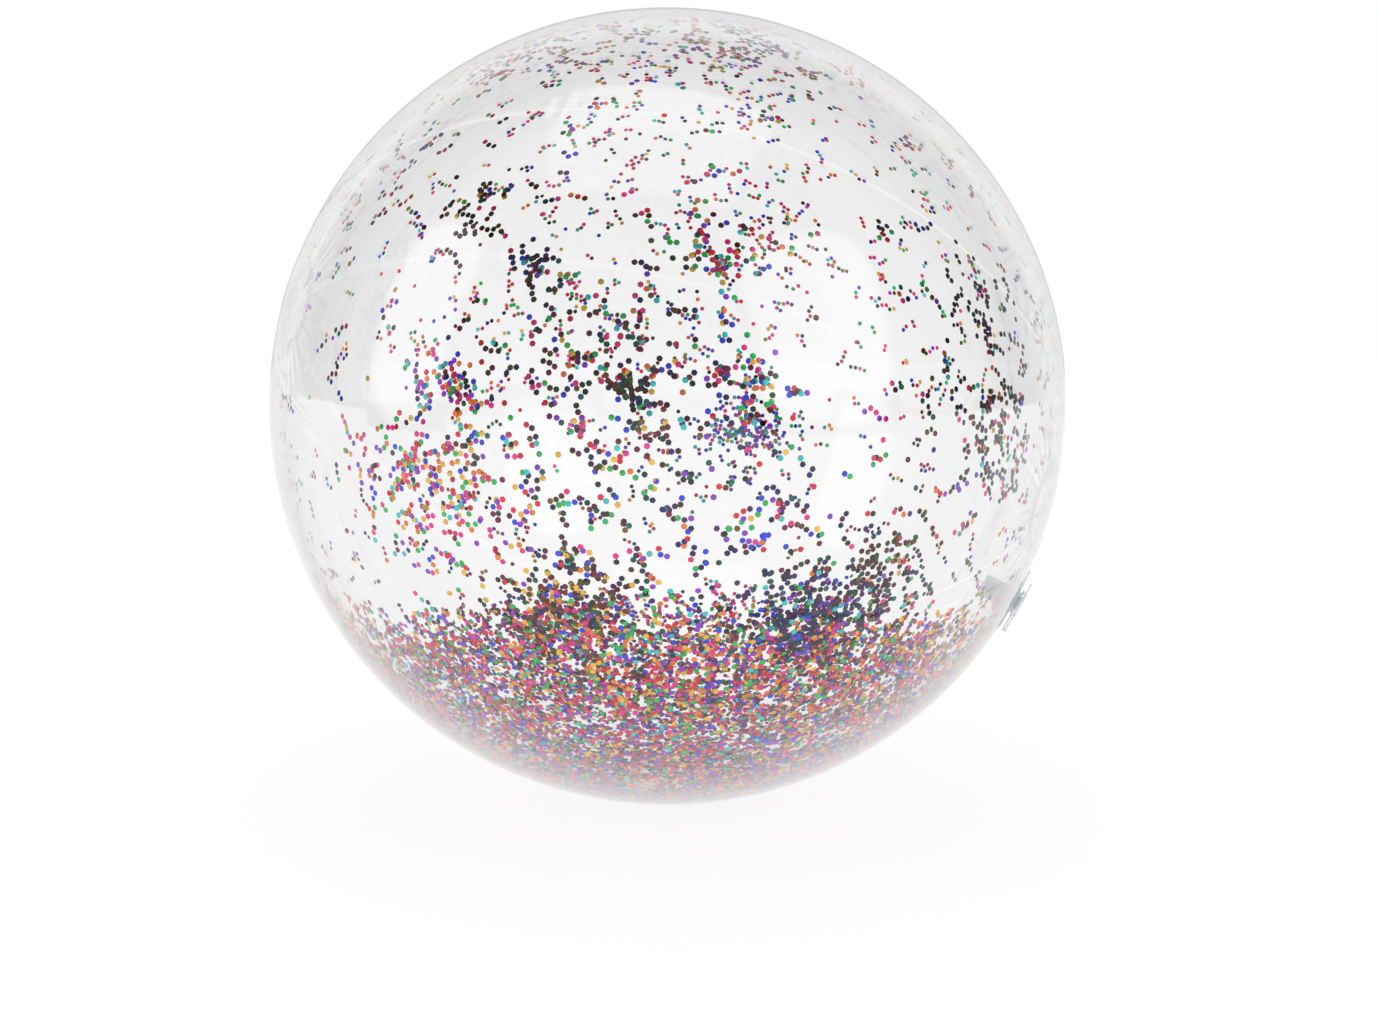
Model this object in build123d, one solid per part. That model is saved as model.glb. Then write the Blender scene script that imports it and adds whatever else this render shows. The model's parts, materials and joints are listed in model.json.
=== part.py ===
from build123d import *
import math
import os

# Inflatable beach ball of clear film: six welded gores, two end discs, a push-in valve with a
# strapped plug and a one-way flap, and confetti that clings to the film or lies loose inside.
# Millimetres. +Z is up, -Y is the front, and the origin is the middle of the flat patch that
# the ball rests on.

# Ball
ball_diameter = 400.0
film_thickness = 0.3
gore_count = 6
resting_patch_diameter = 40.0
weld_lap = 6.0
weld_step = 3.0

# The axis through the two ends where the gores meet, and the first weld's place round it
pole_dip = 14.8
pole_turn = -2.4
first_weld_angle = 40.0

# End discs
end_disc_diameter = 50.0
end_disc_lap = 6.0

# Valve: its place on the ball, then its pieces, from the film inwards
valve_gore = 5
valve_from_pole = 18.0
flange_diameter = 34.0
flange_bore = 20.0
flange_thickness = 0.8
film_hole_margin = 1.0
diaphragm_wall = 1.2
diaphragm_depth = 8.0
stem_outer_diameter = 11.0
stem_length = 19.0
stem_proud = 1.6
stem_travel = 16.0
lip_diameter = 14.0
lip_thickness = 1.0
throat_diameter = 6.4
mouth_diameter = 7.0
mouth_depth = 5.0
soft_part_clearance = 0.15
moulded_edge = 0.35

# Plug and strap
spigot_length = 4.0
spigot_taper = 0.6
spigot_clearance = 0.2
cap_diameter = 13.0
cap_thickness = 1.2
cap_gap = 0.3
tab_length = 5.0
strap_width = 5.0
strap_thickness = 0.8
strap_reach = 15.0
strap_fold_gap = 0.3

# One-way flap
flap_edge_margin = 0.4
flap_hinge_margin = 0.3
flap_thickness = 0.6
flap_gap = 0.2

# Confetti
confetti_colours = ["magenta", "red", "orange", "gold", "green", "teal", "blue", "purple"]
flakes_clinging = 320
flake_width = 2.4
flake_thickness = 0.15
flake_gap = 0.3
bottom_crowding = 1.5
heap_spread = 14.0
heap_depth = 1.4
heap_gap = 1.3

# Worked out from the values above
ball_radius = ball_diameter / 2
centre_height = math.sqrt(ball_radius**2 - (resting_patch_diameter / 2) ** 2)
ball_centre = Vector(0, 0, centre_height)
gore_angle = 360 / gore_count
sector_margin = gore_angle / 10
tip_hole_radius = end_disc_diameter / 2 - end_disc_lap
inner_face_drop = 2 * film_thickness
flake_drop = inner_face_drop + flake_gap
heap_drop = flake_drop + flake_thickness + heap_gap
cutter_reach = flange_diameter / 2
stem_inner_end = stem_proud - stem_length
flap_radius = stem_outer_diameter / 2 - flap_edge_margin
flap_hinge_line = flap_radius - flap_hinge_margin
flap_top = stem_inner_end - flap_gap
hinge_height = stem_proud + cap_gap / 2


def pole_frame():
    """The ball's centre, with Z along the poles and X towards the front."""
    dip = math.radians(pole_dip)
    turn = math.radians(pole_turn)
    right_end = Vector(math.cos(dip) * math.cos(turn), math.cos(dip) * math.sin(turn), -math.sin(dip))
    front = Vector(0, -1, 0)
    level_front = front - right_end * front.dot(right_end)
    return Plane(origin=ball_centre, x_dir=level_front, z_dir=right_end * -1)


def valve_frame():
    """The film's outer face at the valve, with Z outwards and X up along the film."""
    middle_of_gore = math.radians(first_weld_angle + (valve_gore - 0.5) * gore_angle)
    from_pole = math.radians(valve_from_pole)
    outwards = (
        poles.x_dir * math.sin(from_pole) * math.cos(middle_of_gore)
        + poles.y_dir * math.sin(from_pole) * math.sin(middle_of_gore)
        - poles.z_dir * math.cos(from_pole)
    )
    up = Vector(0, 0, 1)
    along_film = up - outwards * up.dot(outwards)
    return Plane(origin=ball_centre + outwards * ball_radius, x_dir=along_film, z_dir=outwards)


def on_valve(shape):
    return valve.location * shape


def rod(radius, low, high):
    """A cylinder on local Z from low to high."""
    return Pos(0, 0, (low + high) / 2) * Cylinder(radius, high - low)


def ball_solid(drop, start=0, sweep=360):
    """The ball, smaller all round by drop and flat where it rests, or a sector of it."""
    radius = ball_radius - drop
    meridian = ThreePointArc((0, 0, radius), (radius, 0, 0), (0, 0, -radius))
    half_disc = make_face([meridian, Line((0, 0, -radius), (0, 0, radius))])
    sector = poles.location * Rot(0, 0, start) * revolve(half_disc, Axis.Z, sweep)
    below = Pos(0, 0, drop - ball_radius) * Box(ball_diameter, ball_diameter, 2 * ball_radius)
    return sector - below


def film_layer(outer_drop, inner_drop, start, sweep):
    """A sector of the skin between two depths under the ball's outer face."""
    core = ball_solid(inner_drop, start - sector_margin, sweep + 2 * sector_margin)
    return ball_solid(outer_drop, start, sweep) - core


def weld_strip(angle):
    """A strip of constant width along one weld, from the step to the tongue's edge."""
    strip = Pos(ball_radius, (weld_lap - weld_step) / 2, 0) * Box(
        ball_diameter, weld_lap + weld_step, 2 * ball_diameter
    )
    return poles.location * Rot(0, 0, angle) * strip


def gore(number):
    """One panel of film with its weld tongue under the next panel."""
    start = first_weld_angle + (number - 1) * gore_angle
    end = start + gore_angle
    panel = film_layer(0, film_thickness, start, gore_angle)
    tongue = film_layer(film_thickness, inner_face_drop, end - gore_angle / 2, gore_angle)
    tongue &= weld_strip(end)
    tips = poles.location * Cylinder(tip_hole_radius, 2 * ball_diameter)
    shape = panel + tongue - tips
    if number == valve_gore:
        shape -= on_valve(rod(flange_bore / 2 + film_hole_margin, -cutter_reach, cutter_reach))
    return shape


def end_disc(side):
    """A round patch welded over the gore tips. Side is 1 for the pole frame's +Z end."""
    patch = Pos(0, 0, side * ball_radius) * Cylinder(end_disc_diameter / 2, ball_radius)
    outside = poles.location * (Sphere(ball_radius + film_thickness) - Sphere(ball_radius))
    return outside & (poles.location * patch)


def valve_flange():
    ring = rod(flange_diameter / 2, -cutter_reach, cutter_reach)
    ring -= rod(flange_bore / 2, -cutter_reach, cutter_reach)
    start = first_weld_angle + (valve_gore - 1) * gore_angle
    inside = film_layer(film_thickness, film_thickness + flange_thickness, start, gore_angle)
    return inside & on_valve(ring)


def valve_diaphragm():
    """The thin funnel from the flange's bore down to the stem's waist."""
    outer = flange_bore / 2
    inner = stem_outer_diameter / 2 + soft_part_clearance
    rim = -film_thickness - flange_thickness / 4
    profile = Polyline(
        (outer, 0, rim),
        (outer, 0, rim - diaphragm_wall),
        (inner, 0, -diaphragm_depth - diaphragm_wall),
        (inner, 0, -diaphragm_depth),
        close=True,
    )
    return on_valve(revolve(make_face(profile), Axis.Z))


def rounded_disc(radius, low, high):
    """A moulded disc with both its rims rounded."""
    disc = rod(radius, low, high)
    return fillet(disc.edges().filter_by(GeomType.CIRCLE), moulded_edge)


def valve_stem():
    """The tube: a lip at the top, a mouth for the plug and a long throat."""
    tube = rod(stem_outer_diameter / 2, stem_inner_end, stem_proud - lip_thickness / 2)
    tube += rounded_disc(lip_diameter / 2, stem_proud - lip_thickness, stem_proud)
    tube -= rod(throat_diameter / 2, stem_inner_end, stem_proud)
    tube -= rod(mouth_diameter / 2, stem_proud - mouth_depth, stem_proud)
    return on_valve(tube)


def strap_leg(near, far, low, thickness):
    """A flat strip on the -X side of the stem, from near to far off the valve's axis."""
    middle = Pos(-(near + far) / 2, 0, low + thickness / 2)
    return middle * Box(far - near, strap_width, thickness)


def strap_anchor():
    leg = strap_leg(0, strap_reach - strap_fold_gap, stem_proud - lip_thickness, lip_thickness)
    return on_valve(leg - rod(lip_diameter / 2, 0, strap_reach))


def plug_strap():
    leg = strap_leg(0, strap_reach - strap_fold_gap / 2, stem_proud + cap_gap, strap_thickness)
    return on_valve(leg - rod(cap_diameter / 2, 0, strap_reach))


def valve_plug():
    """The cap with its tapered spigot in the mouth and its pull tab."""
    underside = stem_proud + cap_gap
    root_radius = mouth_diameter / 2 - spigot_clearance
    spigot = Cone(root_radius - spigot_taper, root_radius, spigot_length + cap_gap)
    cap = rounded_disc(cap_diameter / 2, underside, underside + cap_thickness)
    tab_end = cap_diameter / 2 + tab_length
    tab = Pos(tab_end / 2, 0, underside + strap_thickness / 2) * Box(
        tab_end, strap_width, strap_thickness
    )
    tab = fillet(tab.edges().filter_by(Axis.Z).group_by(Axis.X)[-1], strap_width / 3)
    plug = cap + tab + Pos(0, 0, underside - (spigot_length + cap_gap) / 2) * spigot
    return on_valve(plug)


def check_flap():
    """The disc over the throat's inner end, cut straight along its hinge line."""
    disc = rod(flap_radius, flap_top - flap_thickness, flap_top)
    beyond = Pos(flap_hinge_line + flap_radius, 0, flap_top) * Box(
        2 * flap_radius, 2 * flap_radius, 4 * flap_thickness
    )
    return on_valve(disc - beyond)


def flake(outwards, spin):
    """One hexagonal flake lying against the film, facing outwards."""
    side = Vector(0, 0, 1).cross(outwards)
    seat = Plane(
        origin=ball_centre + outwards * (ball_radius - flake_drop), x_dir=side, z_dir=outwards
    )
    hexagon = Rot(0, 0, spin) * RegularPolygon(flake_width / 2, 6, major_radius=False)
    return seat.location * extrude(hexagon, -flake_thickness)


def clinging_confetti():
    """Flakes on a spiral over the whole inside of the film, crowded towards the bottom."""
    golden_angle = math.pi * (3 - math.sqrt(5))
    groups = {colour: [] for colour in confetti_colours}
    bottom_clear = (resting_patch_diameter / 2 + flake_width) / ball_radius
    valve_clear = (flange_diameter / 2 + 2 * flake_width) / ball_radius
    for k in range(flakes_clinging):
        share = ((k + 0.5) / flakes_clinging) ** bottom_crowding
        cos_from_bottom = 1 - 2 * share
        level = math.sqrt(1 - cos_from_bottom**2)
        turn = k * golden_angle
        outwards = Vector(level * math.cos(turn), level * math.sin(turn), -cos_from_bottom)
        if math.acos(cos_from_bottom) < bottom_clear:
            continue
        if math.acos(min(1, outwards.dot(valve.z_dir))) < valve_clear:
            continue
        colour = confetti_colours[k % len(confetti_colours)]
        groups[colour].append(flake(outwards, math.degrees(turn) % 60))
    return groups


def loose_confetti():
    """The shallow heap at the bottom: a lens between the film and a flatter upper face."""
    outer = ball_radius - heap_drop
    rim_radius = outer * math.sin(math.radians(heap_spread))
    rim_height = centre_height - outer * math.cos(math.radians(heap_spread))
    middle_height = centre_height - outer + heap_depth
    rise = rim_height - middle_height
    upper_radius = (rim_radius**2 + rise**2) / (2 * rise)
    lens = Pos(0, 0, centre_height) * Sphere(outer)
    lens &= Pos(0, 0, rim_height / 2) * Cylinder(rim_radius + heap_depth, rim_height)
    return lens - Pos(0, 0, middle_height + upper_radius) * Sphere(upper_radius)


poles = pole_frame()
valve = valve_frame()


def build():
    pieces = {}
    for number in range(1, gore_count + 1):
        pieces[f"gore_{number}"] = gore(number)
    pieces["end_disc_left"] = end_disc(1)
    pieces["end_disc_right"] = end_disc(-1)
    pieces["valve_flange"] = valve_flange()
    pieces["valve_diaphragm"] = valve_diaphragm()
    pieces["valve_stem"] = valve_stem()
    pieces["strap_anchor"] = strap_anchor()
    pieces["plug_strap"] = plug_strap()
    pieces["valve_plug"] = valve_plug()
    pieces["check_flap"] = check_flap()
    for colour, flakes in clinging_confetti().items():
        pieces[f"confetti_{colour}"] = Compound(children=flakes)
    pieces["loose_confetti"] = loose_confetti()
    return pieces


os.makedirs("parts", exist_ok=True)
for node, shape in build().items():
    export_step(shape, f"parts/{node}.step")

print("valve origin", valve.origin)
print("valve axis", valve.z_dir, "up the film", valve.x_dir)
print("stem travel", stem_travel)
print("plug hinge", valve.origin - valve.x_dir * strap_reach + valve.z_dir * hinge_height)
print("flap hinge", valve.origin + valve.x_dir * flap_hinge_line + valve.z_dir * flap_top)
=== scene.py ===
import json
import math
import bmesh
import bpy
import numpy as np
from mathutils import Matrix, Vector


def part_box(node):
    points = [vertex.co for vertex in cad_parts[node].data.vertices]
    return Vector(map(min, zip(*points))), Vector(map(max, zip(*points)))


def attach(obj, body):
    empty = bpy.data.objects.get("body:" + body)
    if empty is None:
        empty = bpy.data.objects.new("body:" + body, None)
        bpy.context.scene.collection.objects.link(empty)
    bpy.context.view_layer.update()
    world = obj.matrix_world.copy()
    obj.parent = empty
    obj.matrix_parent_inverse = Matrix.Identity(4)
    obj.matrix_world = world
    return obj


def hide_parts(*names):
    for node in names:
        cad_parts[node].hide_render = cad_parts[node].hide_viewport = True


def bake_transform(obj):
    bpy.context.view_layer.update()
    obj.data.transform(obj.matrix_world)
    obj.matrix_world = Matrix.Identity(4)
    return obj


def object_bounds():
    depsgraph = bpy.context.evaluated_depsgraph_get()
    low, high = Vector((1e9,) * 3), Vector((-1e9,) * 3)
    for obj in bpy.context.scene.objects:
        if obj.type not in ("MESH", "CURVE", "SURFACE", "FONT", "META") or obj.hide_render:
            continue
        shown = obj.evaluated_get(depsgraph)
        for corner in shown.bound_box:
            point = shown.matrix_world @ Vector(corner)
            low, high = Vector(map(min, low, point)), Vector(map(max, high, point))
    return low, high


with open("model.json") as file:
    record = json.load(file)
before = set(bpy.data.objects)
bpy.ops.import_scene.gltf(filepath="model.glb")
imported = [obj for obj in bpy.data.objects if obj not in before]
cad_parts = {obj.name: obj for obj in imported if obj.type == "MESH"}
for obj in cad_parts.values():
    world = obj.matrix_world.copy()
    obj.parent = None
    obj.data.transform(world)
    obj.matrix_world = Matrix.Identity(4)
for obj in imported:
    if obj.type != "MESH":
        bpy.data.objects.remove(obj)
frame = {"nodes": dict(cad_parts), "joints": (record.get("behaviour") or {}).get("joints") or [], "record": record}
cad_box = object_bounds()

# ---- Camera ----
# It stands level with the ball and close to it, so that the near dots look larger than the
# far ones. The shift only places the ball where it sits in the frame.
joints = {joint["name"]: joint for joint in frame["joints"]}
centre = Vector(joints["confetti_roll"]["pos_m"])
ball_radius = (cad_box[1].x - cad_box[0].x) / 2
camera_distance = 4.5 * ball_radius
camera_rise = math.radians(2.5)

camera_data = bpy.data.cameras.new("camera")
camera_data.lens = 45.8
camera_data.sensor_width = 36
camera_data.shift_x = 0.0156
camera_data.shift_y = -0.0784
camera = bpy.data.objects.new("camera", camera_data)
camera.location = centre + camera_distance * Vector((0, -math.cos(camera_rise), math.sin(camera_rise)))
camera.rotation_euler = (math.radians(90) - camera_rise, 0, 0)
bpy.context.scene.collection.objects.link(camera)
bpy.context.scene.camera = camera
bpy.context.scene.view_settings.view_transform = "Standard"

# A line of sight crosses up to sixteen faces of clear film where two welds and a disc line up.
bpy.context.scene.cycles.transparent_max_bounces = 24


# ---- Studio ----
# A pale lit table in a white studio. Behind the ball the room is light, on the camera's side it
# is dimmer and beside the ball dimmest, with softboxes overhead, at the left and right front.
def linear(hex_colour):
    """An sRGB hex colour as linear red, green, blue and alpha."""
    channels = [int(hex_colour[i:i + 2], 16) / 255 for i in (1, 3, 5)]
    return tuple(c / 12.92 if c <= 0.04045 else ((c + 0.055) / 1.055) ** 2.4 for c in channels) + (1,)


def add_node(tree, kind, settings=None, inputs=None, stops=()):
    """A shader node with its settings and its inputs: each a value, or the socket that feeds it.

    The stops are a colour ramp's (place, sRGB hex) pairs."""
    node = tree.nodes.new(kind)
    for name, value in (settings or {}).items():
        setattr(node, name, value)
    for k, (place, colour) in enumerate(stops):
        points = node.color_ramp.elements
        if k == len(points):
            points.new(1.0)
        points[k].position = place
        points[k].color = linear(colour)
    for name, value in (inputs or {}).items():
        socket = node.inputs[name]
        if isinstance(value, bpy.types.NodeSocket):
            tree.links.new(value, socket)
        else:
            socket.default_value = value
    return node


world = bpy.data.worlds.new("studio")
world.use_nodes = True
bpy.context.scene.world = world
air = world.node_tree
air.nodes.clear()
direction = add_node(air, "ShaderNodeTexCoord").outputs["Generated"]
across = add_node(air, "ShaderNodeSeparateXYZ", inputs={"Vector": direction}).outputs["Y"]
depth = add_node(
    air, "ShaderNodeMapRange", inputs={"Value": across, "From Min": -1.0, "From Max": 1.0}
).outputs["Result"]
room_shade = add_node(
    air,
    "ShaderNodeValToRGB",
    inputs={"Fac": depth},
    stops=[
        (0.0, "#989898"),
        (0.14, "#909090"),
        (0.26, "#707070"),
        (0.38, "#585858"),
        (0.64, "#585858"),
        (0.74, "#8c8c8c"),
        (0.86, "#cfcfcf"),
        (0.955, "#cfcfcf"),
        (0.985, "#a8a8a8"),
        (1.0, "#787880"),
    ],
).outputs["Color"]
room = add_node(air, "ShaderNodeBackground", inputs={"Color": room_shade, "Strength": 1.6})
backdrop = add_node(air, "ShaderNodeBackground", inputs={"Color": linear("#ffffff"), "Strength": 1.0})
seen = add_node(air, "ShaderNodeLightPath").outputs["Is Camera Ray"]
sky = add_node(
    air,
    "ShaderNodeMixShader",
    inputs={"Fac": seen, 1: room.outputs["Background"], 2: backdrop.outputs["Background"]},
)
add_node(air, "ShaderNodeOutputWorld", inputs={"Surface": sky.outputs["Shader"]})


def softbox(name, place, width, height, radiance, corner, softness):
    """A diffusing panel at a place given from the ball's centre, facing the ball.

    It glows evenly, with round corners, and fades over the softness at its edges."""
    mesh = bpy.data.meshes.new(name)
    corners = [(x * width / 2, y * height / 2, 0) for x, y in ((-1, -1), (1, -1), (1, 1), (-1, 1))]
    mesh.from_pydata(corners, [], [(0, 1, 2, 3)])
    # White diffusing cloth stretched over a lamp: the eye sees an even glow that dies at the hem.
    material = bpy.data.materials.new(f"{name}, diffusing cloth")
    material.use_nodes = True
    tree = material.node_tree
    tree.nodes.clear()
    place_on = add_node(tree, "ShaderNodeTexCoord").outputs["Object"]
    from_middle = add_node(
        tree, "ShaderNodeVectorMath", {"operation": "ABSOLUTE"}, {0: place_on}
    ).outputs["Vector"]
    straight_part = (width / 2 - corner, height / 2 - corner, 0)
    past_it = add_node(
        tree, "ShaderNodeVectorMath", {"operation": "SUBTRACT"}, {0: from_middle, 1: straight_part}
    ).outputs["Vector"]
    into_corner = add_node(
        tree, "ShaderNodeVectorMath", {"operation": "MAXIMUM"}, {0: past_it, 1: (0, 0, 0)}
    ).outputs["Vector"]
    reach = add_node(
        tree, "ShaderNodeVectorMath", {"operation": "LENGTH"}, {0: into_corner}
    ).outputs["Value"]
    glow = add_node(
        tree,
        "ShaderNodeMapRange",
        {"interpolation_type": "SMOOTHSTEP"},
        {
            "Value": reach,
            "From Min": corner - softness,
            "From Max": corner,
            "To Min": radiance,
            "To Max": 0.0,
        },
    ).outputs["Result"]
    light = add_node(tree, "ShaderNodeEmission", inputs={"Color": linear("#ffffff"), "Strength": glow})
    add_node(tree, "ShaderNodeOutputMaterial", inputs={"Surface": light.outputs["Emission"]})
    mesh.materials.append(material)
    panel = bpy.data.objects.new(name, mesh)
    panel.location = centre + Vector(place)
    panel.rotation_euler = Vector(place).to_track_quat("Z", "Y").to_euler()
    panel.visible_camera = False
    bpy.context.scene.collection.objects.link(panel)


softbox(
    "softbox_overhead",
    place=(-0.09, -0.39, 1.50),
    width=1.34,
    height=1.12,
    radiance=1.0,
    corner=0.16,
    softness=0.12,
)
softbox(
    "softbox_left",
    place=(-1.48, -0.49, 0.54),
    width=0.84,
    height=1.44,
    radiance=1.3,
    corner=0.36,
    softness=0.14,
)
softbox(
    "softbox_right_front",
    place=(0.99, -1.10, 0.56),
    width=1.18,
    height=1.52,
    radiance=1.4,
    corner=0.42,
    softness=0.16,
)

# Opal acrylic, sanded on top and lit from below: the eye sees even white, a little greyer
# round the foot of the ball, where its glow is turned down as a painted shadow and the ball's shadow takes some of
# the light from above.
table_reach = 12.0
# The table's glow is turned down round the foot of the ball, a painted shadow: where that starts and ends, and the
# glow there and beyond.
painted_shadow_starts = 0.05
painted_shadow_ends = 0.6
glow_in_painted_shadow = 0.87
glow_beyond = 0.95
table_mesh = bpy.data.meshes.new("lit_table")
table_corners = [(x * table_reach, y * table_reach, 0) for x, y in ((-1, -1), (1, -1), (1, 1), (-1, 1))]
table_mesh.from_pydata(table_corners, [], [(0, 1, 2, 3)])
table = bpy.data.objects.new("lit_table", table_mesh)
bpy.context.scene.collection.objects.link(table)
table_material = bpy.data.materials.new("opal acrylic table, lit from below")
table_material.use_nodes = True
opal = table_material.node_tree
opal.nodes.clear()
on_table = add_node(opal, "ShaderNodeTexCoord").outputs["Object"]
from_ball = add_node(
    opal, "ShaderNodeVectorMath", {"operation": "LENGTH"}, {0: on_table}
).outputs["Value"]
# The glow rises outwards from the foot of the ball: the dimmer glow at the foot is a painted shadow.
glow_with_painted_shadow = add_node(
    opal,
    "ShaderNodeMapRange",
    {"interpolation_type": "SMOOTHSTEP"},
    {
        "Value": from_ball,
        "From Min": painted_shadow_starts,
        "From Max": painted_shadow_ends,
        "To Min": glow_in_painted_shadow,
        "To Max": glow_beyond,
    },
).outputs["Result"]
sheet = add_node(
    opal,
    "ShaderNodeBsdfPrincipled",
    inputs={
        "Base Color": linear("#808080"),
        "Roughness": 0.6,
        "Specular IOR Level": 0.0,
        "Emission Color": linear("#ffffff"),
        "Emission Strength": glow_with_painted_shadow,
    },
)
add_node(opal, "ShaderNodeOutputMaterial", inputs={"Surface": sheet.outputs["BSDF"]})
table_mesh.materials.append(table_material)

# ---- Film gores ----
# Six panels of clear calendered PVC film, 0.3 mm thick, welded edge over edge with a hot die.
# Blown tight, each panel bellies out, sinks a little at its welds and puckers beside them.
mm = 0.001
film_thickness = 0.3 * mm
weld_lap = 6 * mm
weld_step = 3 * mm
gore_count = 6
first_weld = math.radians(40)
gore_angle = 2 * math.pi / gore_count
radius = ball_radius
tip_hole = 19 * mm
film_gap = 0.02 * mm


def middle_of(node):
    """The middle of a CAD node's box."""
    low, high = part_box(node)
    return (low + high) / 2


left_pole = (middle_of("end_disc_left") - middle_of("end_disc_right")).normalized()
to_front = Vector((0, -1, 0))
front_axis = (to_front - left_pole * left_pole.dot(to_front)).normalized()
top_axis = left_pole.cross(front_axis)
pole_axes = np.array([front_axis, top_axis, left_pole])
middle = np.array(centre)


def direction_at(theta, phi):
    """Unit directions from the centre: theta down from the left pole, phi round from the front."""
    local = np.stack([np.sin(theta) * np.cos(phi), np.sin(theta) * np.sin(phi), np.cos(theta)], -1)
    return local @ pole_axes


# The film's small relief, blown taut: how far it sinks at a weld, puckers beside it, gathers
# towards the tips, sways between the welds, and lies inside the ball's full size. Sines of
# unlike pitch keep the puckers and the sway from repeating.
sink_depth = 0.42 * mm
sink_reach = 17 * mm
pucker_height = 0.16 * mm
pucker_pitch = 1.5 * mm
pucker_reach = 7 * mm
gather_height = 0.20 * mm
gather_place = 30 * mm
gather_reach = 14 * mm
gather_folds = 30
sway_height = 0.12 * mm
inset = 0.35 * mm


def skin_height(theta, phi):
    """How far the taut film stands off a perfect sphere there, in metres."""
    turns = ((phi - first_weld) / gore_angle) % 1.0
    weld = np.floor(((phi - first_weld) / gore_angle) + 0.5) % gore_count
    from_weld = np.minimum(turns, 1 - turns) * gore_angle * radius * np.sin(theta)
    along = radius * theta
    from_tip = radius * np.minimum(theta, math.pi - theta)
    sink = -sink_depth * np.exp(-((from_weld / sink_reach) ** 2))
    ripple = np.sin(along / pucker_pitch + 2.2 * np.sin(along / (21 * mm) + weld))
    patches = 0.55 + 0.45 * np.sin(along / (33 * mm) + 1.7 * weld)
    pucker = pucker_height * ripple * patches * np.exp(-((from_weld / pucker_reach) ** 2))
    near_tip = np.exp(-(((from_tip - gather_place) / gather_reach) ** 2))
    gather = gather_height * np.sin(gather_folds * phi + weld) * near_tip
    at = direction_at(theta, phi)
    sway = np.sin(6.1 * at[..., 0] + 1.1) * np.sin(5.3 * at[..., 2] + 0.4)
    sway = sway + 0.6 * np.sin(9.7 * at[..., 1] + 4.1 * at[..., 2] + 2.0)
    return sink + pucker + gather + sway_height * sway - inset


def film_points(theta, phi, drop):
    """Points a given drop under the film's outer face, pressed flat where the ball rests."""
    reach = radius + skin_height(theta, phi) - drop
    points = middle + direction_at(theta, phi) * reach[..., None]
    floor = np.broadcast_to(drop, theta.shape)
    softness = 0.4 * mm
    lift = points[..., 2] - floor
    points[..., 2] = floor + softness * np.logaddexp(0, lift / softness)
    return points


def close_shell(outer, inner, kept):
    """A closed mesh from two grids of points and the grid cells to keep."""
    rows, columns = outer.shape[:2]
    number = np.arange(rows * columns).reshape(rows, columns)
    corners = np.stack([number[:-1, :-1], number[1:, :-1], number[1:, 1:], number[:-1, 1:]], -1)[kept]
    count = rows * columns
    faces = corners.tolist() + (corners[:, ::-1] + count).tolist()
    starts = corners.ravel()
    ends = np.roll(corners, -1, 1).ravel()
    ways = set(zip(starts.tolist(), ends.tolist()))
    walls = [(b, a, a + count, b + count) for a, b in ways if (b, a) not in ways]
    vertices = np.concatenate([outer.reshape(-1, 3), inner.reshape(-1, 3)])
    return vertices, faces + walls


def make_piece(name, vertices, faces, material, sharp=40.0, fused=None):
    """A mesh piece with smooth faces, without the points that no face uses.

    Fused lists the faces that a weld has melted into the next sheet: they mirror nothing."""
    used, corners = np.unique(np.concatenate([np.asarray(face) for face in faces]), return_inverse=True)
    sizes = [len(face) for face in faces]
    cuts = np.cumsum([0] + sizes)
    corners = corners.tolist()
    mesh = bpy.data.meshes.new(name)
    mesh.from_pydata(
        np.asarray(vertices)[used].tolist(), [], [corners[a:b] for a, b in zip(cuts[:-1], cuts[1:])]
    )
    mesh.shade_smooth()
    mesh.set_sharp_from_angle(angle=math.radians(sharp))
    mesh.materials.append(material)
    if fused is not None:
        melted = mesh.attributes.new("fused", "FLOAT", "FACE")
        melted.data.foreach_set("value", np.asarray(fused, np.float32))
    piece = bpy.data.objects.new(name, mesh)
    bpy.context.scene.collection.objects.link(piece)
    return piece


# Clear plasticised PVC, calendered between polished rolls: glass clear head on, a wet mirror
# where it is seen flat, and soft roll waves that bend its highlights. The light's way through it
# grows with one over the squareness, which is held off zero.
mirrored_head_on = 0.03
mirror_steepness = 3.7
passed_head_on = 0.985
least_squareness = 0.15
wave_width = 22.2 * mm
wave_height = 1.0 * mm


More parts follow.
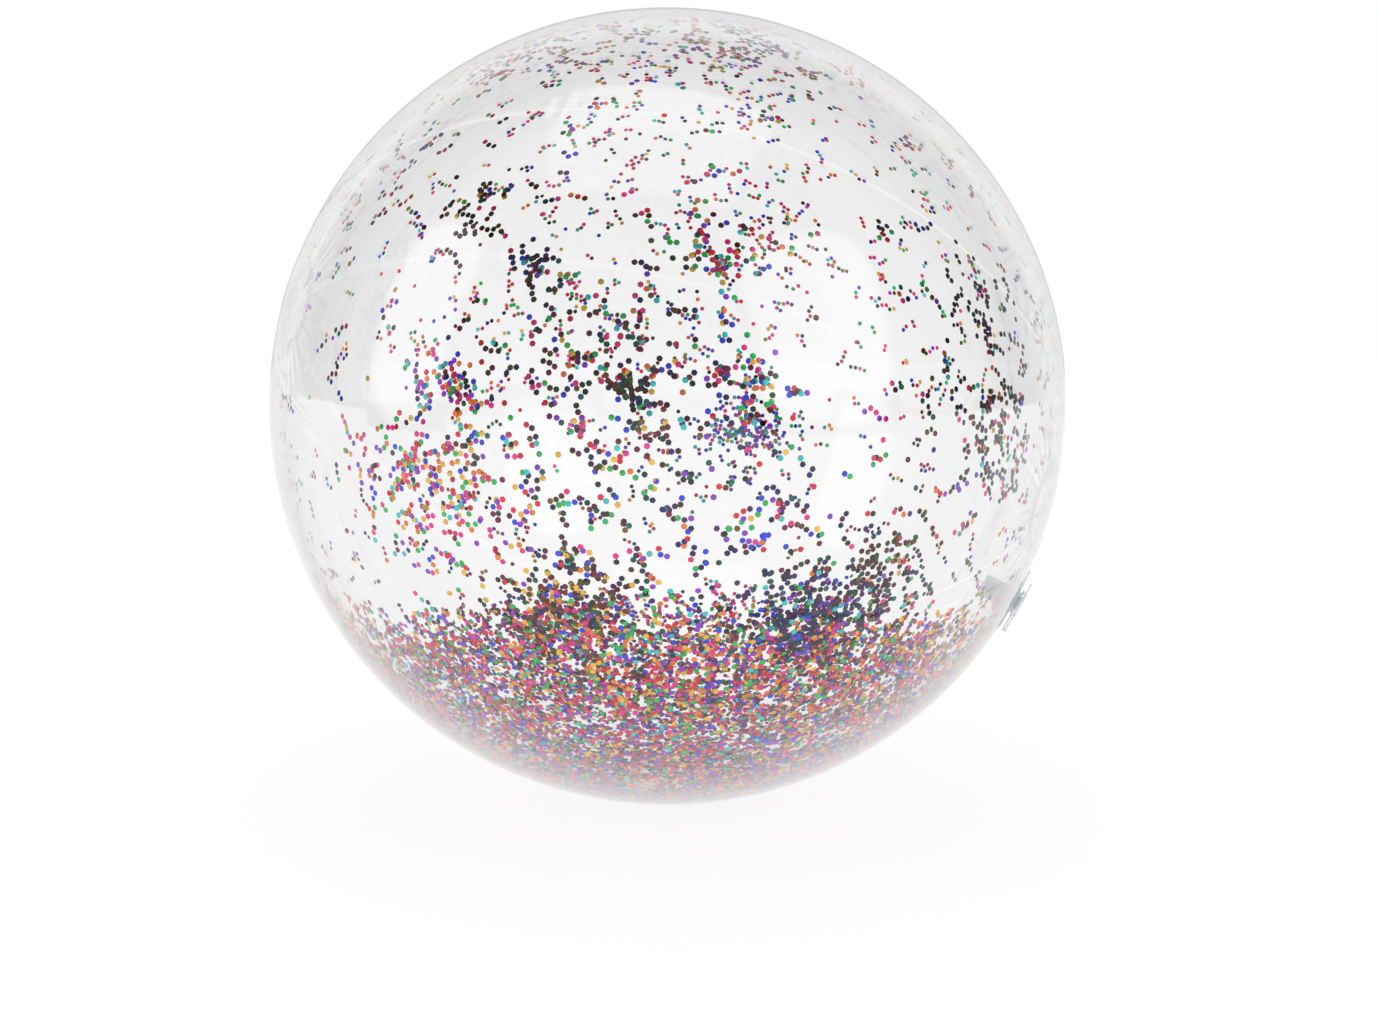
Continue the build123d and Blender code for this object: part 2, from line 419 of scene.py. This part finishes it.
def clear_film(name):
    """Clear film: the flatter it is seen, the more it mirrors and the more light it holds back.

    A face that is fused to the next sheet does neither."""
    material = bpy.data.materials.new(name)
    material.use_nodes = True
    tree = material.node_tree
    tree.nodes.clear()
    slant = add_node(tree, "ShaderNodeLayerWeight", inputs={"Blend": 0.5}).outputs["Facing"]
    steep = add_node(
        tree, "ShaderNodeMath", {"operation": "POWER"}, {0: slant, 1: mirror_steepness}
    ).outputs["Value"]
    mirrored = add_node(
        tree,
        "ShaderNodeMath",
        {"operation": "MULTIPLY_ADD"},
        {0: steep, 1: 1 - mirrored_head_on, 2: mirrored_head_on},
    ).outputs["Value"]
    fused = add_node(tree, "ShaderNodeAttribute", {"attribute_name": "fused"}).outputs["Fac"]
    open_share = add_node(
        tree, "ShaderNodeMath", {"operation": "SUBTRACT"}, {0: 1.0, 1: fused}
    ).outputs["Value"]
    mirror_share = add_node(
        tree, "ShaderNodeMath", {"operation": "MULTIPLY"}, {0: mirrored, 1: open_share}
    ).outputs["Value"]
    place = add_node(tree, "ShaderNodeTexCoord").outputs["Object"]
    waves = add_node(
        tree,
        "ShaderNodeTexNoise",
        inputs={"Vector": place, "Scale": 1 / wave_width, "Detail": 3.0, "Roughness": 0.5},
    ).outputs["Fac"]
    rolled = add_node(
        tree, "ShaderNodeBump", inputs={"Strength": 0.12, "Distance": wave_height, "Height": waves}
    ).outputs["Normal"]
    square_on = add_node(
        tree, "ShaderNodeMath", {"operation": "SUBTRACT"}, {0: 1.0, 1: slant}
    ).outputs["Value"]
    squareness = add_node(
        tree, "ShaderNodeMath", {"operation": "MAXIMUM"}, {0: square_on, 1: least_squareness}
    ).outputs["Value"]
    way_through = add_node(
        tree, "ShaderNodeMath", {"operation": "DIVIDE"}, {0: open_share, 1: squareness}
    ).outputs["Value"]
    passed = add_node(
        tree, "ShaderNodeMath", {"operation": "POWER"}, {0: passed_head_on, 1: way_through}
    ).outputs["Value"]
    through = add_node(tree, "ShaderNodeBsdfTransparent", inputs={"Color": passed})
    gloss = add_node(
        tree,
        "ShaderNodeBsdfPrincipled",
        inputs={
            "Base Color": linear("#ffffff"),
            "Metallic": 1.0,
            "Roughness": 0.055,
            "Normal": rolled,
        },
    )
    face = add_node(
        tree,
        "ShaderNodeMixShader",
        inputs={"Fac": mirror_share, 1: through.outputs["BSDF"], 2: gloss.outputs["BSDF"]},
    )
    add_node(tree, "ShaderNodeOutputMaterial", inputs={"Surface": face.outputs["Shader"]})
    return material


film = clear_film("clear PVC film, calendered")

# The valve's hole in gore 5, which the flange covers from inside.
throat = next(m for m in frame["record"]["mounts"] if m["name"] == "inflation_throat")
valve_axis = Vector(throat["axis"]).normalized()
valve_seat = centre + valve_axis * radius
film_hole = 11 * mm


def columns_across(width):
    """Where the film's mesh lines run across a gore of that width, closer at both welds."""
    edge = np.array([0, 0.5, 1.0, 1.6, 2.2, 3.0, 3.8, 4.6, 5.3, 6.0, 7.4, 9.4]) * mm
    share = np.linspace(0, 1, 40)[None, :]
    near = np.broadcast_to(edge, (len(width), len(edge)))
    far = width[:, None] - edge[::-1]
    span = near[:, -1:] + (far[:, :1] - near[:, -1:]) * share
    return np.concatenate([near[:, :-1], span, far[:, 1:]], 1)


mesh_rows = 330
tongue_lines = np.array([0.0, 2.0, 4.0, 6.0]) * mm
ridge_places = (1.4 * mm, 4.8 * mm)
ridge_width = 0.5 * mm
ridge_height = 0.10 * mm


def gore(number):
    """One panel of film with its tongue under the next panel, and the weld's two fine ridges."""
    start = first_weld + (number - 1) * gore_angle
    tip = math.asin(tip_hole / radius)
    theta = np.linspace(tip, math.pi - tip, mesh_rows)
    level = radius * np.sin(theta)
    width = level * gore_angle
    panel = columns_across(width)
    tongue = width[:, None] + tongue_lines
    across = np.concatenate([panel, tongue], 1)
    phi = start + across / level[:, None]
    theta_grid = np.broadcast_to(theta[:, None], phi.shape)
    in_panel = np.arange(across.shape[1]) < panel.shape[1]
    outer_drop = np.where(in_panel, 0.0, film_thickness + film_gap)
    over_root = across > (width - weld_step)[:, None]
    inner_drop = np.where(over_root, 2 * film_thickness + film_gap, film_thickness)
    outer_drop = np.broadcast_to(outer_drop, phi.shape)
    ridge = sum(np.exp(-(((across - place) / ridge_width) ** 2)) for place in ridge_places)
    outer = film_points(theta_grid, phi, outer_drop - ridge_height * ridge)
    inner = film_points(theta_grid, phi, inner_drop)
    kept = np.ones((len(theta) - 1, across.shape[1] - 1), bool)
    off_axis = outer - np.array(valve_seat)
    off_axis = off_axis - (off_axis @ np.array(valve_axis))[..., None] * np.array(valve_axis)
    gap = np.linalg.norm(off_axis, axis=-1)
    near_valve = (outer - middle) @ np.array(valve_axis) > 0
    in_hole = (gap < film_hole) & near_valve
    if in_hole.any():
        kept = ~(in_hole[:-1, :-1] & in_hole[1:, :-1] & in_hole[1:, 1:] & in_hole[:-1, 1:])
        push = np.where(in_hole & (gap > 1e-6), film_hole / np.maximum(gap, 1e-6) - 1, 0)[..., None]
        outer = outer + off_axis * push
        inner = inner + off_axis * push
    vertices, faces = close_shell(outer, inner, kept)
    step = (across[:-1, :-1] + across[1:, 1:]) / 2
    on_tongue = step > width[:-1, None]
    under_tongue = (step < weld_lap) | (step > (width - weld_step)[:-1, None])
    wall_count = len(faces) - 2 * int(kept.sum())
    fused = np.concatenate([on_tongue[kept], (under_tongue & ~on_tongue)[kept], np.zeros(wall_count)])
    piece = make_piece(f"gore_{number}", vertices, faces, film, fused=fused)
    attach(piece, "envelope")
    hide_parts(f"gore_{number}")


for number in range(1, gore_count + 1):
    gore(number)

# ---- End discs ----
# A round patch of the same film, welded over the six tips at each end. The die leaves a flat
# ring with two fine ridges round the rim, and the middle bulges a little under pressure.
disc_radius = 25 * mm
disc_ridges = (20 * mm, 24 * mm)
disc_ridge_width = 0.45 * mm
disc_ridge_height = 0.12 * mm
bulge_radius = 18 * mm
bulge_height = 0.5 * mm
for pole, name in ((0, "end_disc_left"), (math.pi, "end_disc_right")):
    out = np.concatenate([np.linspace(0.4 * mm, 17 * mm, 16), np.linspace(bulge_radius, disc_radius, 15)])
    round_it = np.linspace(0, 2 * math.pi, 121)
    theta = np.broadcast_to(np.abs(pole - out / radius)[:, None], (len(out), len(round_it)))
    phi = np.broadcast_to(round_it, theta.shape)
    ridges = sum(np.exp(-(((out - place) / disc_ridge_width) ** 2)) for place in disc_ridges)
    bulge = bulge_height * np.clip(1 - (out / bulge_radius) ** 2, 0, 1)
    proud = (disc_ridge_height * ridges + bulge)[:, None]
    outer = film_points(theta, phi, -film_thickness - film_gap - proud)
    inner = film_points(theta, phi, -film_gap - bulge[:, None] + 0 * theta)
    vertices, faces = close_shell(outer, inner, np.ones((len(out) - 1, len(round_it) - 1), bool))
    disc = make_piece(name, vertices, faces, film)
    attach(disc, "envelope")
    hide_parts(name)

# ---- Valve ----
# A push-in valve moulded in soft translucent PVC: a flange welded under the film, a thin wall
# that turns inside out when the stem is pulled, the stem, and a plug on a folded strap.
flow_width = 2.38 * mm
flow_height = 0.2 * mm
edge_milk = 0.45


def soft_pvc(name, share, colour):
    """Soft translucent PVC. The share is how milky it is head on, and it is milkier at its edges."""
    material = bpy.data.materials.new(name)
    material.use_nodes = True
    tree = material.node_tree
    tree.nodes.clear()
    place = add_node(tree, "ShaderNodeTexCoord").outputs["Object"]
    flow = add_node(
        tree, "ShaderNodeTexNoise", inputs={"Vector": place, "Scale": 1 / flow_width, "Detail": 4.0}
    ).outputs["Fac"]
    skin = add_node(
        tree, "ShaderNodeBump", inputs={"Strength": 0.15, "Distance": flow_height, "Height": flow}
    ).outputs["Normal"]
    milk = add_node(
        tree, "ShaderNodeValToRGB", inputs={"Fac": flow}, stops=[(0.3, colour), (0.7, "#ffffff")]
    ).outputs["Color"]
    gloss = add_node(
        tree,
        "ShaderNodeBsdfPrincipled",
        inputs={
            "Base Color": milk,
            "Roughness": 0.32,
            "IOR": 1.53,
            "Normal": skin,
        },
    )
    through = add_node(tree, "ShaderNodeBsdfTransparent", inputs={"Color": linear("#f6f8fa")})
    edge = add_node(tree, "ShaderNodeLayerWeight", inputs={"Blend": 0.35}).outputs["Facing"]
    milky = add_node(
        tree, "ShaderNodeMath", {"operation": "MULTIPLY_ADD"}, {0: edge, 1: edge_milk, 2: share}
    ).outputs["Value"]
    face = add_node(
        tree,
        "ShaderNodeMixShader",
        inputs={"Fac": milky, 1: through.outputs["BSDF"], 2: gloss.outputs["BSDF"]},
    )
    add_node(tree, "ShaderNodeOutputMaterial", inputs={"Surface": face.outputs["Shader"]})
    return material


# Injection moulded in a sand-blasted tool: milky grey, a waxy gloss and faint flow marks. The
# flange is melted into the film all over, so it is almost as clear as the film itself.
moulded_pvc = soft_pvc("soft PVC, injection moulded, frosted", 0.34, "#e8eef2")
welded_pvc = soft_pvc("soft PVC sheet, welded under the film", 0.10, "#eef2f6")
for name in ("valve_stem", "valve_plug", "check_flap", "valve_flange"):
    mesh = frame["nodes"][name].data
    if not mesh.materials:
        mesh.materials.append(None)
    for k in range(len(mesh.materials)):
        mesh.materials[k] = welded_pvc if name == "valve_flange" else moulded_pvc

film_up = Vector((0, 0, 1)) - valve_axis * valve_axis.z
film_up.normalize()
film_side = valve_axis.cross(film_up)
valve_axes = np.array([film_up, film_side, valve_axis])


def on_valve(points_mm):
    """Points given in millimetres from the valve's seat: up the film, across it and outwards."""
    return np.array(valve_seat) + (np.asarray(points_mm, float) * mm) @ valve_axes


def turned_wall(name, profile, thickness, sides, material):
    """A closed thin wall turned round the valve's axis from its (radius, height) centre line."""
    line = np.array(profile, float)
    way = np.gradient(line, axis=0)
    way /= np.linalg.norm(way, axis=1)[:, None]
    off = np.column_stack([-way[:, 1], way[:, 0]]) * thickness / 2
    turn = np.linspace(0, 2 * math.pi, sides + 1)
    sheets = []
    for edge in (line + off, line - off):
        ring = np.stack(
            [
                edge[:, None, 0] * np.cos(turn),
                edge[:, None, 0] * np.sin(turn),
                np.broadcast_to(edge[:, None, 1], (len(edge), sides + 1)),
            ],
            -1,
        )
        sheets.append(on_valve(ring))
    vertices, faces = close_shell(sheets[0], sheets[1], np.ones((len(line) - 1, sides), bool))
    piece = make_piece(name, vertices, faces, material)
    clean = bmesh.new()
    clean.from_mesh(piece.data)
    bmesh.ops.remove_doubles(clean, verts=clean.verts, dist=0.001 * mm)
    clean.to_mesh(piece.data)
    clean.free()
    return piece


# The thin wall, in millimetres: a funnel from the flange's opening down to the stem.
funnel_mouth, funnel_neck = 10.2, 5.75
funnel_top, funnel_depth = -1.2, 7.5
fall = np.linspace(0, 1, 25)
narrowing = fall * fall * (3 - 2 * fall)
funnel = np.column_stack(
    [funnel_mouth - (funnel_mouth - funnel_neck) * narrowing, funnel_top - funnel_depth * fall]
)
diaphragm = turned_wall("valve_diaphragm", funnel, thickness=0.7, sides=72, material=moulded_pvc)
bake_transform(diaphragm)
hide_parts("valve_diaphragm")

# The strap, in millimetres, runs down from the stem's lip, folds back and ends on the plug's cap.
lower, upper = 1.1, 2.3
fold_x = -14.2
lip_x, cap_x = -6.7, -6.2
leg_lines = 12
fold_radius = (upper - lower) / 2
bend_turn = np.linspace(-math.pi / 2, -3 * math.pi / 2, 17)
fold = np.column_stack(
    [fold_x + fold_radius * np.cos(bend_turn), (lower + upper) / 2 + fold_radius * np.sin(bend_turn)]
)
out_leg = np.column_stack([np.linspace(lip_x, fold_x + 0.3, leg_lines), np.full(leg_lines, lower)])
back_leg = np.column_stack([np.linspace(fold_x + 0.3, cap_x, leg_lines), np.full(leg_lines, upper)])
strap_line = np.concatenate([out_leg, fold, back_leg])
strap_way = np.gradient(strap_line, axis=0)
strap_way /= np.linalg.norm(strap_way, axis=1)[:, None]
strap_off = np.column_stack([-strap_way[:, 1], strap_way[:, 0]])
across_strap = np.array([-2.5, -2.3, -1.9, 0, 1.9, 2.3, 2.5])
half_thick = np.array([0.16, 0.34, 0.4, 0.4, 0.4, 0.34, 0.16])
strap_faces = []
for way in (1, -1):
    line = strap_line[:, None, :] + way * strap_off[:, None, :] * half_thick[None, :, None]
    width_way = np.broadcast_to(across_strap, line.shape[:2])
    strap_faces.append(on_valve(np.stack([line[..., 0], width_way, line[..., 1]], -1)))
vertices, faces = close_shell(
    strap_faces[0], strap_faces[1], np.ones((len(strap_line) - 1, len(across_strap) - 1), bool)
)
strap = make_piece("strap", vertices, faces, moulded_pvc)
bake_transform(strap)
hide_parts("strap_anchor", "plug_strap")

# ---- Confetti ----
# Dots of metallised polyester foil, 2.4 mm hexagons with rolled edges, a foil colour each.
# Static holds most of them flat on the inside of the film, in chains and clumps, thick round
# the bottom and thin above. The rest lie in a loose heap at the bottom.
foil_colours = {
    "magenta": "#ff2e96",
    "red": "#f01c38",
    "orange": "#ff8430",
    "gold": "#ffc83c",
    "green": "#1ec85e",
    "teal": "#38d8dc",
    "blue": "#2c48f0",
    "purple": "#9c3cdc",
}
flake_width = 2.4 * mm
flake_thickness = 0.06 * mm
flake_dish = 0.05 * mm
flat_share = 0.80
# The share of the foil colour left at the rim: a painted shade.
painted_rim_shade_factor = 0.48
draw = np.random.default_rng(7)


# Metallised polyester under coloured lacquer, die cut: a bright metal glint that goes dark
# where it mirrors the dim side of the room, and a rim painted darker, a painted shade where the die has rolled the
# edge.
def foil(name, colour):
    """Foil of one colour. Each dot has its own tone, the nearly black ones a painted reflection of the dim room,
    and its rim is painted darker than its middle, a painted shade.
    """
    material = bpy.data.materials.new(name)
    material.use_nodes = True
    tree = material.node_tree
    tree.nodes.clear()
    # The rim attribute marks the rim's points, which get a painted shade.
    rim = add_node(tree, "ShaderNodeAttribute", {"attribute_name": "rim"}).outputs["Fac"]
    # Each dot's tone: it differs at random, and the nearly black ones are a painted reflection of the dim room.
    tone_and_painted_shade = add_node(tree, "ShaderNodeAttribute", {"attribute_name": "tone_and_painted_shade"}).outputs["Fac"]
    lacquer_with_painted_rim_shade = add_node(
        tree,
        "ShaderNodeMix",
        {"data_type": "RGBA", "blend_type": "MIX"},
        {"Factor": rim, 6: linear(colour), 7: [painted_rim_shade_factor * c for c in linear(colour)[:3]] + [1]},
    ).outputs[2]
    tone = add_node(
        tree, "ShaderNodeHueSaturation", inputs={"Value": tone_and_painted_shade, "Color": lacquer_with_painted_rim_shade}
    ).outputs["Color"]
    face = add_node(
        tree, "ShaderNodeBsdfPrincipled", inputs={"Base Color": tone, "Metallic": 0.9, "Roughness": 0.3}
    )
    add_node(tree, "ShaderNodeOutputMaterial", inputs={"Surface": face.outputs["BSDF"]})
    return material


def flake_shape():
    """One dished hexagonal dot: its points, faces and the weights of its painted rim shade."""
    sides = 6
    turn = np.arange(sides) * 2 * math.pi / sides
    edge = np.column_stack([np.cos(turn), np.sin(turn)]) * flake_width / math.sqrt(3)
    upper = np.column_stack([edge * flat_share, np.full(sides, flake_dish)])
    rim = np.column_stack([edge, np.zeros(sides)])
    under = np.column_stack([edge * flat_share, np.full(sides, flake_dish - flake_thickness)])
    points = np.concatenate([upper, rim, under])
    faces = [tuple(range(sides)), tuple(range(3 * sides - 1, 2 * sides - 1, -1))]
    for k in range(sides):
        n = (k + 1) % sides
        faces.append((k, sides + k, sides + n, n))
        faces.append((sides + k, 2 * sides + k, 2 * sides + n, sides + n))
    painted_rim_shade_weights = np.concatenate([np.zeros(sides), np.ones(sides), np.zeros(sides)])
    return points, faces, painted_rim_shade_weights


shape_points, shape_faces, shape_painted_rim_shade = flake_shape()


def lay_flakes(name, places, outwards, tilts, tones, material):
    """One mesh of many dots, each at its place, turned at random and tilted off the film."""
    count = len(places)
    spin = draw.uniform(0, 2 * math.pi, count)
    lean_way = draw.uniform(0, 2 * math.pi, count)
    helper = np.where(np.abs(outwards[:, 2:]) < 0.9, [[0, 0, 1.0]], [[1.0, 0, 0]])
    side = np.cross(helper, outwards)
    side /= np.linalg.norm(side, axis=1)[:, None]
    other = np.cross(outwards, side)
    lean = side * np.cos(lean_way)[:, None] + other * np.sin(lean_way)[:, None]
    up = outwards * np.cos(tilts)[:, None] + lean * np.sin(tilts)[:, None]
    first = side - up * (side * up).sum(1)[:, None]
    first /= np.linalg.norm(first, axis=1)[:, None]
    second = np.cross(up, first)
    x_axis = first * np.cos(spin)[:, None] + second * np.sin(spin)[:, None]
    y_axis = np.cross(up, x_axis)
    local = shape_points[None, :, :, None]
    axes = np.stack([x_axis, y_axis, up], 1)[:, None]
    vertices = places[:, None, :] + (local * axes).sum(2)
    per_flake = len(shape_points)
    starts = np.arange(count) * per_flake
    faces = []
    for face in shape_faces:
        faces += (np.array(face)[None] + starts[:, None]).tolist()
    mesh = bpy.data.meshes.new(name)
    mesh.from_pydata(vertices.reshape(-1, 3).tolist(), [], faces)
    mesh.shade_smooth()
    mesh.set_sharp_from_angle(angle=math.radians(30))
    # The rim weights say where the foil gets its painted rim shade.
    rim = mesh.attributes.new("rim", "FLOAT", "POINT")
    rim.data.foreach_set("value", np.tile(shape_painted_rim_shade, count).astype(np.float32))
    # Each dot's tone: the nearly black ones are a painted reflection of the dim side of the room.
    tone_and_painted_shade = mesh.attributes.new("tone_and_painted_shade", "FLOAT", "POINT")
    tone_and_painted_shade.data.foreach_set("value", np.repeat(tones, per_flake).astype(np.float32))
    mesh.materials.append(material)
    piece = bpy.data.objects.new(name, mesh)
    bpy.context.scene.collection.objects.link(piece)
    return piece


def to_polar(at):
    """theta and phi of unit directions, as direction_at takes them."""
    local = at @ pole_axes.T
    return np.arccos(np.clip(local[:, 2], -1, 1)), np.arctan2(local[:, 1], local[:, 0])


def even_directions(count):
    """Directions spread at random over the whole ball."""
    height = draw.uniform(-1, 1, count)
    turn = draw.uniform(0, 2 * math.pi, count)
    level = np.sqrt(1 - height**2)
    return np.stack([level * np.cos(turn), level * np.sin(turn), height], 1)


straightness = 0.6


def chains(seeds, spread, longest):
    """Short chains of touching dots that grow from each seed, as static strings them together."""
    found = []
    for seed in seeds:
        at = seed
        way = draw.normal(size=3)
        for _ in range(draw.integers(1, longest + 1)):
            found.append(at)
            way = straightness * way + draw.normal(size=3)
            step = way - at * way.dot(at)
            step /= np.linalg.norm(step)
            at = at + step * spread / radius
            at /= np.linalg.norm(at)
    return np.array(found)


def heading(turn, rise):
    """The unit direction that many degrees to the right of the front and up from level."""
    a, e = math.radians(turn), math.radians(rise)
    return np.array([math.sin(a) * math.cos(e), -math.cos(a) * math.cos(e), math.sin(e)])


def clump(turn, rise, spread, count):
    """A patch of short chains of dots round one heading, in degrees."""
    seeds = heading(turn, rise) + draw.normal(size=(count, 3)) * math.radians(spread)
    seeds /= np.linalg.norm(seeds, axis=1)[:, None]
    return chains(seeds, 1.15 * flake_width, 3)


def shaded(directions, painted_dark_share, colours):
    """Dots with a tone and a colour number each. Dark is the share painted nearly black, a painted reflection of
    the dim side of the room.
    """
    count = len(directions)
    painted_dark = draw.uniform(size=count) < painted_dark_share
    tone = np.where(painted_dark, draw.uniform(0.03, 0.22, count), draw.uniform(0.80, 1.0, count))
    colour = draw.choice(len(foil_colours), count, p=colours)
    return np.column_stack([directions, tone, colour])


# The share of each foil colour, in the order of foil_colours.
evenly = (0.17, 0.14, 0.11, 0.12, 0.15, 0.09, 0.13, 0.09)
warm = (0.20, 0.13, 0.16, 0.16, 0.13, 0.05, 0.07, 0.10)
mauve = (0.19, 0.10, 0.13, 0.12, 0.10, 0.08, 0.12, 0.16)
cool = (0.08, 0.04, 0.03, 0.03, 0.12, 0.12, 0.28, 0.30)

# Heights here are shares of the radius. The bowl of dots reaches higher on the front, and
# below its upper edge it soon covers the film.
near_bowl_top, far_bowl_top = 0.41, 0.60
bowl_floor = -0.66
bowl_depth = 0.40
upper_seeds = even_directions(1200)
bowl_seeds = even_directions(45000)
bowl_start = np.where(bowl_seeds[:, 1] < 0, near_bowl_top, far_bowl_top)
depth_share = np.clip((-bowl_seeds[:, 2] - bowl_start) / bowl_depth, 0, 1)
chance = np.clip(0.18 + 2.6 * depth_share, 0, 1) * (depth_share > 0)
bowl = chains(bowl_seeds[draw.uniform(size=len(bowl_seeds)) < chance], 1.05 * flake_width, 3)
near_bowl, far_bowl = bowl[bowl[:, 1] < 0], bowl[bowl[:, 1] >= 0]
# In each row below, the number after the dots is the share painted nearly black, a painted reflection of the dim
# room.
patches = [
    shaded(chains(upper_seeds, 1.35 * flake_width, 4), 0.35, evenly),
    shaded(near_bowl[near_bowl[:, 2] > bowl_floor], 0.08, warm),
    shaded(near_bowl[near_bowl[:, 2] <= bowl_floor], 0.0, mauve),
    shaded(far_bowl, 0.0, mauve),
]

# Clumps where the static is strongest: degrees right of the front, degrees up, spread in
# degrees, number of chains, share of dots painted nearly black (a painted reflection of the
# dim room), and the mix of colours.
clumps = (
    (-4, 4, 1.5, 22, 0.90, evenly),
    (-6, 6, 7.5, 110, 0.70, evenly),
    (-26, 25, 3.5, 26, 0.90, evenly),
    (-17, 20, 1.4, 14, 0.75, cool),
    (6, 20, 3.0, 40, 0.20, evenly),
    (-30, -8, 6.5, 140, 0.04, warm),
    (-27, 6, 3.0, 44, 0.15, evenly),
    (-18, -4, 8.0, 70, 0.50, evenly),
    (45, 12, 5.5, 50, 0.90, evenly),
    (47, -3, 6.0, 100, 0.85, evenly),
    (8, -12, 6.5, 90, 0.60, cool),
    (11, 6, 3.0, 36, 0.25, evenly),
    (-13, -23, 4.2, 200, 0.72, warm),
    (20, -24, 3.8, 180, 0.85, cool),
    (29, -20, 4.2, 110, 0.80, evenly),
    (166, -8, 5.0, 120, 0.04, cool),
    (-165, 12, 14.0, 90, 0.15, evenly),
    (150, 20, 16.0, 90, 0.12, evenly),
    (15, 58, 7.0, 120, 0.08, mauve),
    (-38, 58, 7.0, 110, 0.10, evenly),
    (170, 52, 16.0, 110, 0.10, evenly),
)
for turn, rise, spread, count, painted_dark_share, colours in clumps:
    patches.append(shaded(clump(turn, rise, spread, count), painted_dark_share, colours))
clinging = np.concatenate(patches)

# No dot lies on the valve's flange or on the flat that the ball rests on, and few lie in the
# bare patches: degrees right of the front, degrees up, and reach in degrees.
valve_reach = 21 * mm
flat_reach = 24 * mm
bare_patches = ((18, 12, 8), (-26, 14, 6), (-3, 38, 9), (30, 34, 8))
left_in_bare_patch = 0.2
clear_of_valve = clinging[:, :3] @ np.array(valve_axis) < math.cos(valve_reach / radius)
clear_of_flat = -clinging[:, 2] < math.cos(flat_reach / radius)
kept = clear_of_valve & clear_of_flat
for turn, rise, reach in bare_patches:
    in_bare_patch = clinging[:, :3] @ heading(turn, rise) > math.cos(math.radians(reach))
    kept &= ~in_bare_patch | (draw.uniform(size=len(clinging)) < left_in_bare_patch)
clinging = clinging[kept]
outwards, tones, owner = clinging[:, :3], clinging[:, 3], clinging[:, 4].astype(int)

# A dot lies just inside the film. Deep in the bowl the dots lie over one another, so they stand
# further off it and lean more, but never so far that a corner reaches the film.
least_drop = 0.95 * mm
free_drop = 0.70 * mm
corner_reach = 0.58 * flake_width
theta, phi = to_polar(outwards)
deep = np.clip((-outwards[:, 2] - 0.3) / 0.5, 0, 1)
drop = least_drop + draw.uniform(0, 1, len(outwards)) * (0.25 + 1.2 * deep) * mm
tilt = np.abs(draw.normal(0, 1, len(outwards))) * (math.radians(5) + math.radians(14) * deep)
tilt = np.minimum(tilt, (drop - free_drop) / corner_reach)
places = middle + outwards * (radius + skin_height(theta, phi) - drop)[:, None]

foils = {}
for k, (colour, code) in enumerate(foil_colours.items()):
    foils[colour] = foil(f"{colour} metallised polyester foil, die cut", code)
    mine = owner == k
    piece = lay_flakes(
        f"confetti_{colour}", places[mine], outwards[mine], tilt[mine], tones[mine], foils[colour]
    )
    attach(piece, "envelope")
    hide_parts(f"confetti_{colour}")

# The loose heap at the bottom: 1500 dots in a shallow lens that stays clear of the film.
heap_count = 1500
heap_spread = math.radians(17)
heap_clearance = 3.2 * mm
heap_thickness = 1.6 * mm
heap_turn = draw.uniform(0, 2 * math.pi, heap_count)
heap_lean = heap_spread * np.sqrt(draw.uniform(0, 1, heap_count))
heap_out = np.stack(
    [np.sin(heap_lean) * np.cos(heap_turn), np.sin(heap_lean) * np.sin(heap_turn), -np.cos(heap_lean)], 1
)
heap_depth = draw.uniform(0, 1, heap_count) * (1 - (heap_lean / heap_spread) ** 2)
heap_drop = heap_clearance + heap_thickness * heap_depth
heap_places = middle + heap_out * (radius - heap_drop)[:, None]
heap_tilt = np.abs(draw.normal(0, math.radians(16), heap_count))
# A share of the heap's dots is painted nearly black too, a painted reflection of the dim room.
heap = shaded(heap_out, 0.15, warm)
heap_owner = heap[:, 4].astype(int)
for k, colour in enumerate(foil_colours):
    mine = heap_owner == k
    piece = lay_flakes(
        f"loose_{colour}",
        heap_places[mine],
        heap_out[mine],
        heap_tilt[mine],
        heap[mine, 3],
        foils[colour],
    )
    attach(piece, "loose_confetti")
    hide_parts("loose_confetti")
